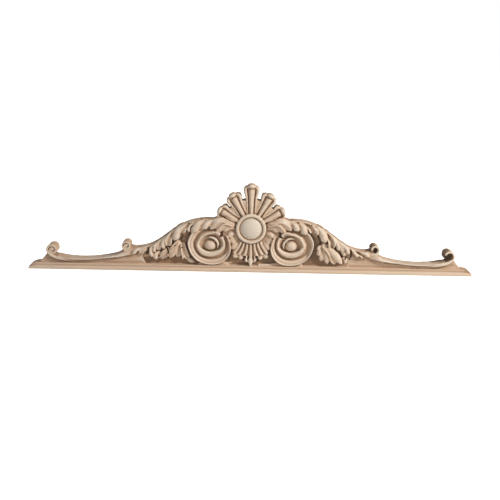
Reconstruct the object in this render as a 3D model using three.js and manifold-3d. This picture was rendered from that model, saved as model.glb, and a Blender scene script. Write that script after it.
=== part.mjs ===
// Carved floral applique: a pale wooden crest with a hump in the middle, a rail to each side and a
// moulded plinth below. It is carved from one board, so it is one solid.
// Millimetres. X runs along the crest, +Z is up and the carved face looks along -Y.
// The origin is the middle of the flat underside. "Depth" is measured forward from the flat back.

import * as THREE from 'three';
import { mergeVertices } from 'three/addons/utils/BufferGeometryUtils.js';
import Module from 'manifold-3d';

const wasm = await Module();
wasm.setup();

// Plinth: the moulding that runs along the foot and returns round both ends
const LENGTH = 1000;
const DEPTH = 40;
const PLINTH_HEIGHT = 12.5;
const PLINTH_LIP = 2;
const PLINTH_SETBACK = 8;
const PLINTH_RETURN = 23;

// Boards behind the carving
const GROUND_DEPTH = 19;
const FACE_DEPTH = 27;
const LEDGE_DEPTH = 34;
const LEDGE_THICKNESS = 8;
const GROUND_SLANT = 16;
const EASED_EDGE = 2;

// Hump: its top edge is an S-curve that falls from the crown to the dip beside the inner scroll
const HUMP_HEIGHT = 118;
const HUMP_CROWN = 95;
const DIP_AT = 262;
const DIP_HEIGHT = 50;

// Scrolls at the two ends of each rail
const INNER_SCROLL_AT = 279;
const INNER_SCROLL_HEIGHT = 54.5;
const INNER_SCROLL_RADIUS = 10;
const END_TO_OUTER_SCROLL = 53.5;
const OUTER_SCROLL_HEIGHT = 42.5;
const OUTER_SCROLL_RADIUS = 11.5;
const SCROLL_DISH = 5;

// Rail between the scrolls: it sags to its lowest point two thirds of the way out
const RAIL_LOW = 22.5;
const RAIL_START_HEIGHT = 38;
const RAIL_END_HEIGHT = 29;

// Rosette: a dome in a rounded ring, with rays above and ribs below
const ROSETTE_HEIGHT = 98.5;
const RING_RADIUS = 34;
const RING_WIDTH = 7.5;
const RING_DEPTH = 35;
const RING_GROOVE = 6;
const DOME_RADIUS = 25.2;
const DOME_DEPTH = 39;
const RAY_COUNT = 5;
const RAY_REACH = 100;
const RAY_SPREAD = 30.5;
const RAY_HALF_WIDTH = 16;
const RAY_DEPTH = 29;
const RAY_SHORTENING = 0.105;
const BEAD_RADIUS = 7.5;
const BEAD_UNDERCUT = 14;
const WEB_RADIUS = 65;
const WEB_DEPTH = 23;
const RIB_COUNT = 7;
const RIB_HALF_WIDTH = 4.2;
const RIB_DEPTH = 31;
const RIB_ANGLE = 13;
const RIB_PITCH = 11.6;
const RIB_FLARE = 2;
const RIB_FOOT_HEIGHT = 29;
const RIB_FOOT_RISE = 1.2;
const SPIKE_HEAD_HEIGHT = 42;
const SPIKE_TIP_HEIGHT = 13.5;
const SPIKE_HALF_WIDTH = 11;

// Volutes to each side of the rosette
const VOLUTE_AT = 92;
const VOLUTE_HEIGHT = 60.5;
const VOLUTE_OUTER = 42;
const VOLUTE_INNER = 20.5;
const VOLUTE_STRETCH = 1.13;
const VOLUTE_BAND = 4.6;
const VOLUTE_DEPTH = 35;
const VOLUTE_FLOOR_DEPTH = 23;
const VOLUTE_START = 50;
const VOLUTE_TURN = 640;
const BALL_RADIUS = 14;
const BALL_DEPTH = 31;

// Leaves: lobes that hang from the S-curve, and those beside the rosette and under the hump
const LOBE_COUNT = 10;
const LOBE_HALF_WIDTH = 9;
const LOBE_DROP = 30;
const LOBE_LEAN = 14;
const LOBE_INSET = 4;
const LEAF_DEPTH = 36;
const LEAF_FOOT = 6;

// Tips of the smaller leaves on the right-hand side, each with its half width: those of the shell at
// the foot of the fan from the middle of the plinth, those round the volute from its centre, and the
// low ones as a share of the way from crown to dip and a height above the plinth
const SHELL_TIPS = [[24, 10.5, 7.5], [39, 16.5, 7.5]];
const OVER_TIPS = [[-32, 29.5, 12], [-10, 31.5, 12], [6, 41.5, 10]];
const BETWEEN_TIPS = [[-45, -18.5, 8], [-38, 15.5, 7], [-39, -0.5, 7]];
const LOW_TIPS = [[0.34, 9.5, 9], [0.485, 7.5, 10], [0.67, 4.5, 9]];

// Fineness of the facets
const BLADE_STATIONS = 5;
const LEAF_STATIONS = 4;
const ROUND_STEPS = 18;

const SIDES = [-1, 1];
const SECTION_CONVEX = [[-1, 0], [-0.6, 0.75], [0, 1], [0.6, 0.75], [1, 0]];
const SECTION_RIB = [[-1, 0], [-0.5, 1], [0.5, 1], [1, 0]];
const SECTION_FLUTED = [[-1, 0.1], [-0.82, 1], [0, 0.35], [0.82, 1], [1, 0.1]];
const SECTION_RAY = [[-1, 0.35], [-0.82, 0.8], [-0.5, 0], [0, 1], [0.5, 0], [0.82, 0.8], [1, 0.35]];

const lerp = THREE.MathUtils.lerp;
const smooth = THREE.MathUtils.smoothstep;
const radians = THREE.MathUtils.degToRad;

// A point of the face plane (x, z), brought forward of the back by depth
function at(x, z, depth) {
  return [x, DEPTH / 2 - depth, z];
}

// A closed solid from triangles, turned so that its faces point out
function solid(points, triangles) {
  const geometry = new THREE.BufferGeometry();
  geometry.setAttribute('position', new THREE.Float32BufferAttribute(points.flat(), 3));
  geometry.setIndex(triangles.flat());
  return solidOf(geometry);
}

function solidOf(source) {
  const bare = source.clone();
  bare.deleteAttribute('normal');
  bare.deleteAttribute('uv');
  const merged = mergeVertices(bare, 1e-4);
  const vertProperties = new Float32Array(merged.attributes.position.array);
  const triVerts = new Uint32Array(merged.index.array);
  if (signedVolume(vertProperties, triVerts) < 0) {
    for (let i = 0; i < triVerts.length; i += 3) {
      const first = triVerts[i];
      triVerts[i] = triVerts[i + 1];
      triVerts[i + 1] = first;
    }
  }
  return new wasm.Manifold(new wasm.Mesh({ numProp: 3, vertProperties, triVerts }));
}

function signedVolume(positions, triangles) {
  const [a, b, c] = [new THREE.Vector3(), new THREE.Vector3(), new THREE.Vector3()];
  let sum = 0;
  for (let i = 0; i < triangles.length; i += 3) {
    a.fromArray(positions, 3 * triangles[i]);
    b.fromArray(positions, 3 * triangles[i + 1]);
    c.fromArray(positions, 3 * triangles[i + 2]);
    sum += a.dot(b.cross(c));
  }
  return sum;
}

// Rings of equal length joined into a tube, and its two ends closed
function loft(rings) {
  const count = rings[0].length;
  const points = rings.flat();
  const triangles = [];
  for (let r = 0; r < rings.length - 1; r += 1) {
    for (let i = 0; i < count; i += 1) {
      const a = r * count + i;
      const b = r * count + ((i + 1) % count);
      triangles.push([a, b, b + count], [a, b + count, a + count]);
    }
  }
  const last = (rings.length - 1) * count;
  for (const [p, q, r] of endCap(rings[0])) triangles.push([r, q, p]);
  for (const [p, q, r] of endCap(rings[rings.length - 1])) triangles.push([last + p, last + q, last + r]);
  return solid(points, triangles);
}

// Triangles of a flat ring, in the order in which the ring runs
function endCap(ring) {
  const points = ring.map((p) => new THREE.Vector3(...p));
  const normal = new THREE.Vector3();
  points.forEach((p, i) => normal.add(p.clone().cross(points[(i + 1) % points.length])));
  normal.normalize();
  const across = new THREE.Vector3(0.31, 0.83, 0.46).cross(normal).normalize();
  const along = normal.clone().cross(across);
  const flat = points.map((p) => new THREE.Vector2(p.dot(across), p.dot(along)));
  return THREE.ShapeUtils.triangulateShape(flat, []);
}

// A flat outline (x, z) pulled forward from one depth to another
function slab(outline, back, front) {
  return loft([outline.map(([x, z]) => at(x, z, back)), outline.map(([x, z]) => at(x, z, front))]);
}

// A leaf, rib or band: a section carried along a curve of the face plane, down to a flat foot
// halfWidth, crown and rise are functions of the share t of the way along
function blade({ curve, halfWidth, crown, rise, section, foot = LEAF_FOOT, stations = BLADE_STATIONS }) {
  const rings = [];
  for (let i = 0; i <= stations; i += 1) {
    const t = i / stations;
    const middle = curve.getPoint(t);
    const tangent = curve.getTangent(t);
    const w = halfWidth(t);
    const spot = (s, depth) => at(middle.x + tangent.y * s * w, middle.y - tangent.x * s * w, depth);
    const top = section.map(([s, share]) => spot(s, crown(t) - rise(t) * (1 - share)));
    rings.push([...top, spot(1, foot), spot(-1, foot)]);
  }
  return loft(rings);
}

// A turned form with its axis along the depth, from a profile of [radius, depth] that ends on the axis
function turned(x, z, profile, steps = ROUND_STEPS, stretch = 1) {
  const points = profile.map(([radius, depth]) => new THREE.Vector2(radius, depth));
  const geometry = new THREE.LatheGeometry(points, steps);
  geometry.rotateX(Math.PI);
  geometry.scale(stretch, 1, 1);
  geometry.translate(x, DEPTH / 2, z);
  return solidOf(geometry);
}

function bend(x0, z0, x1, z1, x2, z2) {
  const points = [new THREE.Vector2(x0, z0), new THREE.Vector2(x1, z1), new THREE.Vector2(x2, z2)];
  return new THREE.QuadraticBezierCurve(...points);
}

// Teardrop width: narrow where the lobe springs, full near its end, then rounded off
function teardrop(fullAt, spring = 0.35) {
  return (t) => {
    const swell = lerp(spring, 1, smooth(t, 0, fullAt));
    const rounding = Math.sqrt(Math.max(0.04, 1 - Math.max(0, (t - fullAt) / (1 - fullAt)) ** 2));
    return swell * rounding;
  };
}

// The S-curve on the right-hand side, from the crown of the hump to the dip
const humpRun = DIP_AT - HUMP_CROWN;
const humpCurve = new THREE.CubicBezierCurve(
  new THREE.Vector2(HUMP_CROWN, HUMP_HEIGHT),
  new THREE.Vector2(HUMP_CROWN + 0.51 * humpRun, HUMP_HEIGHT),
  new THREE.Vector2(HUMP_CROWN + 0.58 * humpRun, DIP_HEIGHT),
  new THREE.Vector2(DIP_AT, DIP_HEIGHT),
);

// The rail's top edge on the right-hand side, from the inner scroll to the outer one
const outerScrollAt = LENGTH / 2 - END_TO_OUTER_SCROLL;
const railStart = INNER_SCROLL_AT + INNER_SCROLL_RADIUS;
const railEnd = outerScrollAt - OUTER_SCROLL_RADIUS;
const railRun = railEnd - railStart;
const railPull = (8 * RAIL_LOW - RAIL_START_HEIGHT - RAIL_END_HEIGHT) / 6;
const railCurve = new THREE.CubicBezierCurve(
  new THREE.Vector2(railStart, RAIL_START_HEIGHT),
  new THREE.Vector2(railStart + 0.27 * railRun, railPull + 3),
  new THREE.Vector2(railStart + 0.74 * railRun, railPull - 1),
  new THREE.Vector2(railEnd, RAIL_END_HEIGHT),
);

// Mirrors a list of solids made for the right-hand side
function bothSides(make) {
  return SIDES.flatMap((side) => make().map((piece) => (side > 0 ? piece : piece.mirror([1, 0, 0]))));
}

// Plinth: a quarter-round front over a small lip, cut down along the returns at its ends
function plinth() {
  const steps = 5;
  const frontAt = (z) => {
    const share = Math.max(0, z - PLINTH_LIP) / (PLINTH_HEIGHT - PLINTH_LIP);
    return DEPTH - PLINTH_SETBACK * (1 - Math.sqrt(1 - share * share));
  };
  const heightAt = (inset) => {
    const share = Math.min(1, inset / PLINTH_RETURN);
    return PLINTH_LIP / 2 + (PLINTH_HEIGHT - PLINTH_LIP / 2) * Math.sqrt(1 - (1 - share) ** 2);
  };
  const insets = [0, 0.03, 0.12, 0.3, 0.6, 1].map((share) => share * PLINTH_RETURN);
  const left = insets.map((inset) => [inset - LENGTH / 2, heightAt(inset)]);
  const right = left.map(([x, height]) => [-x, height]).reverse();
  const rings = [...left, ...right].map(([x, height]) => {
    const front = [];
    for (let i = 0; i <= steps; i += 1) front.push((height * i) / steps);
    return [at(x, height, 0), at(x, 0, 0), ...front.map((z) => at(x, z, frontAt(z)))];
  });
  return loft(rings);
}

// Face board under each rail, from the slanting edge of the sunk ground out to the cove at the return
function sideFace() {
  const foot = PLINTH_HEIGHT / 2;
  const coveFoot = LENGTH / 2 - PLINTH_RETURN;
  const coveHead = outerScrollAt + 0.9 * OUTER_SCROLL_RADIUS;
  const coveRise = OUTER_SCROLL_HEIGHT - 0.9 * OUTER_SCROLL_RADIUS;
  const rail = railCurve.getPoints(7).map((p) => [p.x, p.y - 1]);
  const stations = [
    [DIP_AT, DIP_HEIGHT - 2],
    [INNER_SCROLL_AT, DIP_HEIGHT - 4],
    ...rail,
    [coveHead, coveRise],
    [lerp(coveHead, coveFoot, 0.5), lerp(coveRise, PLINTH_HEIGHT, 0.45)],
    [coveFoot, PLINTH_HEIGHT + 1],
  ];
  const section = (x, z, slant) => [
    at(x - slant, foot, 0),
    at(x - slant, foot, LEDGE_DEPTH - 3),
    at(x - slant, PLINTH_HEIGHT - 0.5, LEDGE_DEPTH - 3),
    at(x - 0.7 * slant, lerp(PLINTH_HEIGHT, z, 0.4), FACE_DEPTH),
    at(x, z, LEDGE_DEPTH - 3),
    at(x, z, 0),
  ];
  return loft([
    section(DIP_AT - GROUND_SLANT, DIP_HEIGHT - 6, GROUND_SLANT / 2),
    ...stations.map(([x, z]) => section(x, z, 0)),
  ]);
}

// Sunk ground of the hump, behind the leaves and volutes
function humpGround() {
  const foot = PLINTH_HEIGHT / 2;
  const edge = humpCurve.getPoints(12).map((p) => [p.x, p.y - 0.5]);
  const right = [...edge, [INNER_SCROLL_AT, DIP_HEIGHT], [railStart, foot]];
  const left = right.map(([x, z]) => [-x, z]).reverse();
  return slab([...left, ...right], 0, GROUND_DEPTH);
}

// Ledge: the flat top edge of the hump, as deep as the rail
function humpLedge() {
  const start = new THREE.LineCurve(new THREE.Vector2(1.2 * RING_RADIUS, HUMP_HEIGHT), humpCurve.v0);
  const foot = INNER_SCROLL_AT - 0.9 * INNER_SCROLL_RADIUS;
  const head = INNER_SCROLL_AT - 0.6 * INNER_SCROLL_RADIUS;
  const end = bend(DIP_AT, DIP_HEIGHT, foot, DIP_HEIGHT, head, DIP_HEIGHT + 0.4 * INNER_SCROLL_RADIUS);
  const path = new THREE.CurvePath();
  path.add(start);
  path.add(humpCurve);
  path.add(end);
  return edgeBand(path, 15);
}

function railLedge() {
  return edgeBand(railCurve, 9);
}

// A band that hangs below a top edge, from the back to the depth of the ledge, with an eased front
function edgeBand(curve, stations) {
  const rings = [];
  for (let i = 0; i <= stations; i += 1) {
    const p = curve.getPoint(i / stations);
    const tangent = curve.getTangent(i / stations);
    const spot = (down, depth) => at(p.x + tangent.y * down, p.y - tangent.x * down, depth);
    rings.push([
      spot(0, 0),
      spot(0, LEDGE_DEPTH - EASED_EDGE),
      spot(EASED_EDGE, LEDGE_DEPTH),
      spot(0.7 * LEDGE_THICKNESS, LEDGE_DEPTH - EASED_EDGE / 2),
      spot(LEDGE_THICKNESS, 0),
    ]);
  }
  return loft(rings);
}

// Scrolls: a roll with a dished front round a small eye, on a neck that grows from the rail
function scrolls() {
  const roll = (x, z, radius) => turned(x, z, [
    [0, 0],
    [radius, 0],
    [radius, LEDGE_DEPTH - EASED_EDGE],
    [0.86 * radius, LEDGE_DEPTH],
    [0.62 * radius, LEDGE_DEPTH],
    [0.42 * radius, LEDGE_DEPTH - SCROLL_DISH],
    [0, LEDGE_DEPTH - 0.6 * SCROLL_DISH],
  ], 12);
  const innerNeck = [
    [lerp(DIP_AT, INNER_SCROLL_AT, 0.2), RAIL_START_HEIGHT],
    [INNER_SCROLL_AT, RAIL_START_HEIGHT - LEDGE_THICKNESS],
    [INNER_SCROLL_AT + 1.4 * INNER_SCROLL_RADIUS, RAIL_START_HEIGHT - LEDGE_THICKNESS / 2],
    [INNER_SCROLL_AT + 0.8 * INNER_SCROLL_RADIUS, INNER_SCROLL_HEIGHT - 0.7 * INNER_SCROLL_RADIUS],
    [INNER_SCROLL_AT - 0.4 * INNER_SCROLL_RADIUS, INNER_SCROLL_HEIGHT],
    [lerp(DIP_AT, INNER_SCROLL_AT, 0.3), DIP_HEIGHT],
  ];
  const outerNeck = [
    [outerScrollAt - 1.2 * OUTER_SCROLL_RADIUS, PLINTH_HEIGHT],
    [outerScrollAt + 0.6 * OUTER_SCROLL_RADIUS, PLINTH_HEIGHT],
    [outerScrollAt + 0.9 * OUTER_SCROLL_RADIUS, OUTER_SCROLL_HEIGHT - 0.4 * OUTER_SCROLL_RADIUS],
    [outerScrollAt, OUTER_SCROLL_HEIGHT],
    [outerScrollAt - 0.8 * OUTER_SCROLL_RADIUS, lerp(RAIL_END_HEIGHT, OUTER_SCROLL_HEIGHT, 0.3)],
    [outerScrollAt - 1.2 * OUTER_SCROLL_RADIUS, RAIL_END_HEIGHT],
  ];
  return [
    roll(INNER_SCROLL_AT, INNER_SCROLL_HEIGHT, INNER_SCROLL_RADIUS),
    roll(outerScrollAt, OUTER_SCROLL_HEIGHT, OUTER_SCROLL_RADIUS),
    slab(innerNeck, 0, LEDGE_DEPTH - EASED_EDGE),
    slab(outerNeck, 0, LEDGE_DEPTH - EASED_EDGE),
  ];
}

// Rosette: the ring has a groove inside it, in which the dome sits
function rosette() {
  const inner = RING_RADIUS - RING_WIDTH;
  const groove = RING_DEPTH - RING_GROOVE;
  const ring = [
    [0, 0],
    [RING_RADIUS, 0],
    [RING_RADIUS, RING_DEPTH - 0.5 * RING_WIDTH],
    [RING_RADIUS - 0.3 * RING_WIDTH, RING_DEPTH],
    [RING_RADIUS - 0.7 * RING_WIDTH, RING_DEPTH],
    [inner, groove],
  ];
  const dome = [];
  const steps = 3;
  for (let i = 0; i <= steps; i += 1) {
    const turn = (Math.PI / 2) * (i / steps);
    dome.push([DOME_RADIUS * Math.cos(turn), groove + (DOME_DEPTH - groove) * Math.sin(turn)]);
  }
  return turned(0, ROSETTE_HEIGHT, [...ring, ...dome.slice(0, -1), [0, DOME_DEPTH]], 26);
}

// Rays: two rims and a round tongue on each, widest at the shoulder, with a bead curled over the tip.
// A round web ties them together behind.
function rays() {
  const pieces = [turned(0, ROSETTE_HEIGHT, [
    [0, 0],
    [WEB_RADIUS, 0],
    [WEB_RADIUS, WEB_DEPTH - EASED_EDGE],
    [WEB_RADIUS - EASED_EDGE, WEB_DEPTH],
    [0, WEB_DEPTH],
  ], ROUND_STEPS)];
  for (let i = 0; i < RAY_COUNT; i += 1) {
    const step = i - (RAY_COUNT - 1) / 2;
    const turn = radians(90 - RAY_SPREAD * step);
    const reach = RAY_REACH * (1 - RAY_SHORTENING * Math.sqrt(Math.abs(step)));
    const point = (r) => [r * Math.cos(turn), ROSETTE_HEIGHT + r * Math.sin(turn)];
    const start = point(0.93 * RING_RADIUS);
    const end = point(reach - 0.7 * BEAD_RADIUS);
    const line = new THREE.LineCurve(new THREE.Vector2(...start), new THREE.Vector2(...end));
    const width = (t) => {
      const shoulder = lerp(0.52, 1, smooth(t, 0.1, 0.86));
      return RAY_HALF_WIDTH * shoulder * (t > 0.9 ? lerp(1, 0.6, (t - 0.9) / 0.1) : 1);
    };
    pieces.push(blade({
      curve: line,
      halfWidth: width,
      crown: (t) => lerp(RAY_DEPTH + 1, RAY_DEPTH - 2, t),
      rise: () => 8,
      section: SECTION_RAY,
      foot: 0,
    }));
    const [x, z] = point(reach - BEAD_RADIUS);
    pieces.push(turned(x, z, [
      [0, BEAD_UNDERCUT],
      [BEAD_RADIUS, BEAD_UNDERCUT],
      [BEAD_RADIUS, RAY_DEPTH - 5],
      [0.7 * BEAD_RADIUS, RAY_DEPTH + 1],
      [0, RAY_DEPTH + 3],
    ], 8));
  }
  return pieces;
}

// Fan below the ring: ribs that spread downwards, over a shell of lobes and a pointed leaf
function fan() {
  const pieces = [];
  const half = (RIB_COUNT - 1) / 2;
  for (let i = -half; i <= half; i += 1) {
    const turn = radians(-90 + RIB_ANGLE * i);
    const startRadius = RING_RADIUS - 0.5 * RING_WIDTH;
    const x0 = startRadius * Math.cos(turn);
    const z0 = ROSETTE_HEIGHT + startRadius * Math.sin(turn);
    const x2 = RIB_PITCH * i + RIB_FLARE * i * Math.abs(i) / half;
    const z2 = RIB_FOOT_HEIGHT + RIB_FOOT_RISE * Math.abs(i);
    pieces.push(blade({
      curve: bend(x0, z0, x0 + 0.15 * (x2 - x0), lerp(z0, z2, 0.5), x2, z2),
      halfWidth: (t) => RIB_HALF_WIDTH * lerp(0.8, 1.25, t),
      crown: (t) => lerp(RIB_DEPTH, RIB_DEPTH - 1, t),
      rise: () => 7,
      section: SECTION_RIB,
      stations: LEAF_STATIONS,
    }));
  }
  const head = new THREE.Vector2(0, SPIKE_HEAD_HEIGHT);
  const tip = new THREE.Vector2(0, SPIKE_TIP_HEIGHT);
  pieces.push(blade({
    curve: new THREE.LineCurve(head, tip),
    halfWidth: (t) => SPIKE_HALF_WIDTH * (t < 0.4 ? lerp(0.5, 1, t / 0.4) : lerp(1, 0.06, (t - 0.4) / 0.6)),
    crown: (t) => lerp(RIB_DEPTH + 1, DEPTH - 3, t),
    rise: () => 4,
    section: SECTION_CONVEX,
  }));
  return pieces;
}

// Scalloped lobes at the foot of the fan, one side
function fanShell() {
  return SHELL_TIPS.map(([x, rise, width]) => blade({
    curve: bend(0.6 * x, SPIKE_HEAD_HEIGHT, 0.8 * x, 0.8 * SPIKE_HEAD_HEIGHT, x, PLINTH_HEIGHT + rise),
    halfWidth: (t) => width * teardrop(0.7, 0.5)(t),
    crown: (t) => lerp(RIB_DEPTH - 3, RIB_DEPTH - 1, t),
    rise: () => 5,
    section: SECTION_RIB,
    stations: LEAF_STATIONS,
  }));
}

// Volute: a rounded band that winds in round a ball, over a floor
function volute() {
  const turns = radians(VOLUTE_TURN);
  class Spiral extends THREE.Curve {
    getPoint(t, target = new THREE.Vector2()) {
      const angle = radians(VOLUTE_START) - t * turns;
      const radius = lerp(VOLUTE_OUTER, VOLUTE_INNER, smooth(t, 0.16, 0.78));
      const x = VOLUTE_AT + VOLUTE_STRETCH * radius * Math.cos(angle);
      return target.set(x, VOLUTE_HEIGHT + radius * Math.sin(angle));
    }
  }
  const band = blade({
    curve: new Spiral(),
    halfWidth: (t) => VOLUTE_BAND * lerp(1, 0.62, t) * Math.min(1, 0.5 + 6 * t),
    crown: (t) => lerp(VOLUTE_DEPTH, VOLUTE_DEPTH - 4, t),
    rise: () => 6,
    section: SECTION_RIB,
    stations: 28,
  });
  const floor = turned(VOLUTE_AT, VOLUTE_HEIGHT, [
    [0, 0],
    [VOLUTE_OUTER - 1, 0],
    [VOLUTE_OUTER - 1, VOLUTE_FLOOR_DEPTH - 2],
    [0.6 * VOLUTE_OUTER, VOLUTE_FLOOR_DEPTH],
    [0, VOLUTE_FLOOR_DEPTH],
  ], ROUND_STEPS, VOLUTE_STRETCH);
  const rise = BALL_DEPTH - VOLUTE_FLOOR_DEPTH + EASED_EDGE;
  const ball = [[0, LEAF_FOOT], [BALL_RADIUS, LEAF_FOOT]];
  for (let i = 0; i < 3; i += 1) {
    const turn = (Math.PI / 2) * (i / 3);
    ball.push([BALL_RADIUS * Math.cos(turn), BALL_DEPTH - rise + rise * Math.sin(turn)]);
  }
  ball.push([0, BALL_DEPTH]);
  return [band, floor, turned(VOLUTE_AT, VOLUTE_HEIGHT, ball, 14, VOLUTE_STRETCH)];
}

// Lobes of the leaf that clothes the S-curve, longest in the middle, every third one broad
function humpLobes() {
  const pieces = [];
  for (let i = 0; i < LOBE_COUNT; i += 1) {
    const share = i / (LOBE_COUNT - 1);
    const along = lerp(0.02, 0.93, share);
    const edge = humpCurve.getPoint(along);
    const inward = humpCurve.getTangent(along).rotateAround(new THREE.Vector2(), -Math.PI / 2);
    const spring = edge.addScaledVector(inward, LOBE_INSET);
    const drop = LOBE_DROP * (0.5 + 0.5 * Math.sin(Math.PI * lerp(0.12, 0.96, share)));
    const broad = i % 3 === 1 ? 1.2 : 0.85;
    const lean = LOBE_LEAN * lerp(0.35, 1.25, share);
    const z = spring.y;
    pieces.push(blade({
      curve: bend(spring.x, z, spring.x + lean, z - 0.35 * drop, spring.x + lean, z - drop),
      halfWidth: (t) => LOBE_HALF_WIDTH * broad * teardrop(0.72)(t),
      crown: (t) => LEAF_DEPTH - 2 * (1 - Math.sin(Math.PI * Math.min(1, t + 0.3))),
      rise: () => 8,
      section: i % 3 === 2 ? SECTION_FLUTED : SECTION_RIB,
    }));
  }
  return pieces;
}

// Leaf over the volute, springing from the ring, and the leaf between ring and volute
function ringLeaves() {
  const upper = new THREE.Vector2(0.92 * RING_RADIUS, ROSETTE_HEIGHT + 0.3 * RING_RADIUS);
  const lower = new THREE.Vector2(0.92 * RING_RADIUS, ROSETTE_HEIGHT - 0.38 * RING_RADIUS);
  const tipOf = (across, up) => new THREE.Vector2(VOLUTE_AT + across, VOLUTE_HEIGHT + up);
  const leafLine = (from, to, run, lift) => {
    const knee = new THREE.Vector2(lerp(from.x, to.x, run), lerp(from.y, to.y, 0.2) + lift);
    return new THREE.QuadraticBezierCurve(from, knee, to);
  };
  const pieces = OVER_TIPS.map(([across, up, width]) => blade({
    curve: leafLine(upper, tipOf(across, up), 0.6, 0.15 * RING_RADIUS),
    halfWidth: (t) => width * teardrop(0.75)(t),
    crown: (t) => lerp(LEAF_DEPTH - 4, LEAF_DEPTH, t),
    rise: () => 6,
    section: SECTION_CONVEX,
    stations: LEAF_STATIONS,
  }));
  return pieces.concat(BETWEEN_TIPS.map(([across, up, width]) => blade({
    curve: leafLine(lower, tipOf(across, up), 0.8, 0),
    halfWidth: (t) => width * teardrop(0.7)(t),
    crown: (t) => lerp(RIB_DEPTH - 4, RIB_DEPTH, t),
    rise: () => 6,
    section: SECTION_CONVEX,
    stations: LEAF_STATIONS,
  })));
}

// Leaves that spread over the ground under the S-curve
function lowLeaves() {
  const spring = new THREE.Vector2(lerp(HUMP_CROWN, DIP_AT, 0.35), lerp(DIP_HEIGHT, HUMP_HEIGHT, 0.38));
  return LOW_TIPS.map(([share, rise, width]) => {
    const x = lerp(HUMP_CROWN, DIP_AT, share);
    const z = PLINTH_HEIGHT + rise;
    return blade({
      curve: bend(spring.x, spring.y, lerp(spring.x, x, 0.35), lerp(spring.y, z, 0.45), x, z),
      halfWidth: (t) => width * teardrop(0.65, 0.45)(t),
      crown: (t) => lerp(LEAF_DEPTH - 4, LEAF_DEPTH - 6, t),
      rise: () => 6,
      section: SECTION_RIB,
      stations: LEAF_STATIONS,
    });
  });
}

function carving() {
  const pieces = [
    plinth(),
    humpGround(),
    rosette(),
    ...rays(),
    ...fan(),
    ...bothSides(() => [
      sideFace(),
      humpLedge(),
      railLedge(),
      ...scrolls(),
      ...fanShell(),
      ...volute(),
      ...humpLobes(),
      ...ringLeaves(),
      ...lowLeaves(),
    ]),
  ];
  return pieces.reduce((whole, piece) => whole.add(piece));
}

function meshOf(name, manifold, material) {
  const { vertProperties, triVerts } = manifold.getMesh();
  const geometry = new THREE.BufferGeometry();
  geometry.setAttribute('position', new THREE.BufferAttribute(vertProperties, 3));
  geometry.setIndex(new THREE.BufferAttribute(triVerts, 1));
  geometry.computeVertexNormals();
  const mesh = new THREE.Mesh(geometry, material);
  mesh.name = name;
  return mesh;
}

const paleWood = new THREE.MeshStandardMaterial({ color: 0xd9bfa3, roughness: 0.62, metalness: 0 });
const applique = new THREE.Group();
applique.add(meshOf('carved_applique', carving(), paleWood));
export default applique;
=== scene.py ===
# %% [markdown]
# # A carved crest in pale wood
# The object is a metre-long carved crest: a hump of leaves and scrolls round a sun-like rosette, with
# a low rail running out to each side over a moulded plinth. A carver cuts all of it from one glued-up
# board, so this lesson ends with one mesh too. The way there is the carver's: block out the
# forms one by one, melt them into a single skin, drill and undercut it, then sand and look at it.
#
# Every form is made lying on the bench: x runs along the crest, y is the height it will have on the
# wall, and z is how far it stands forward of the flat back. Only the finished mesh is stood up.

# %% Tools and the frame
import math

import bpy
import numpy as np
from mathutils import Matrix, Vector


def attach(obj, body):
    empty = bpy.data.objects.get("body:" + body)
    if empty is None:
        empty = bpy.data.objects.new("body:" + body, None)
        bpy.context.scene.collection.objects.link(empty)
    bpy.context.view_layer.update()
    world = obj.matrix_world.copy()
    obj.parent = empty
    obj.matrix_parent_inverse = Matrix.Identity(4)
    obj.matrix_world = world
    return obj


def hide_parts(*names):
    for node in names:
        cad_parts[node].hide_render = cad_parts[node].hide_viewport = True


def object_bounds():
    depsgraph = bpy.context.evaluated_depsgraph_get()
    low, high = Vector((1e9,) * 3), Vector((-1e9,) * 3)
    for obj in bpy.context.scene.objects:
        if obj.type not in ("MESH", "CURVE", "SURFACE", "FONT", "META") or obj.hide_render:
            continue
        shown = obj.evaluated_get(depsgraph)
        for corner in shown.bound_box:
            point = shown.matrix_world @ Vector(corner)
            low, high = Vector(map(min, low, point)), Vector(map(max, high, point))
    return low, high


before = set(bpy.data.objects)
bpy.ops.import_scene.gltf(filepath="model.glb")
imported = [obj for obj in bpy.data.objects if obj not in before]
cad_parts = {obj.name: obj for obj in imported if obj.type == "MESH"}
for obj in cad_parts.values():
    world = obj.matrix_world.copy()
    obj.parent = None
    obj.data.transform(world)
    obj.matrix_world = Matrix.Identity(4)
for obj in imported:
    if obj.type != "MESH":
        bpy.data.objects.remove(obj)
cad_low, cad_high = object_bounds()
MM = 0.001
LENGTH = (cad_high.x - cad_low.x) / MM
DEPTH = (cad_high.y - cad_low.y) / MM
HEIGHT = (cad_high.z - cad_low.z) / MM
print(f"crest {LENGTH:.0f} x {DEPTH:.0f} x {HEIGHT:.0f} mm")

# %% [markdown]
# ## Helpers for every node tree
# Shader trees and geometry trees are built the same way: make a node, set its options, then fill or
# link its inputs. One small function does all three, so a tree below reads from top to bottom as the
# order in which the values flow. The commonest nodes, for maths, mixing and moving a value from one
# range to another, get a shorter call of their own.

# %% Nodes with their settings and links
def add(tree, kind, options=(), inputs=()):
    node = tree.nodes.new(kind)
    for name, value in dict(options).items():
        setattr(node, name, value)
    for name, value in dict(inputs).items():
        socket = node.inputs[name]
        if isinstance(value, bpy.types.NodeSocket):
            tree.links.new(value, socket)
        else:
            socket.default_value = value
    return node


def maths(tree, operation, *values):
    """The result of a maths node whose inputs are given in order."""
    options = {"operation": operation}
    return add(tree, "ShaderNodeMath", options, dict(enumerate(values))).outputs[0]


def mixed(tree, share, first, second, kind="FLOAT", mode="MIX"):
    """The first value where share is 0 and the second where it is 1."""
    a, b, result = (6, 7, 2) if kind == "RGBA" else (2, 3, 0)
    options = {"data_type": kind, "blend_type": mode}
    return add(tree, "ShaderNodeMix", options, {0: share, a: first, b: second}).outputs[result]


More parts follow.
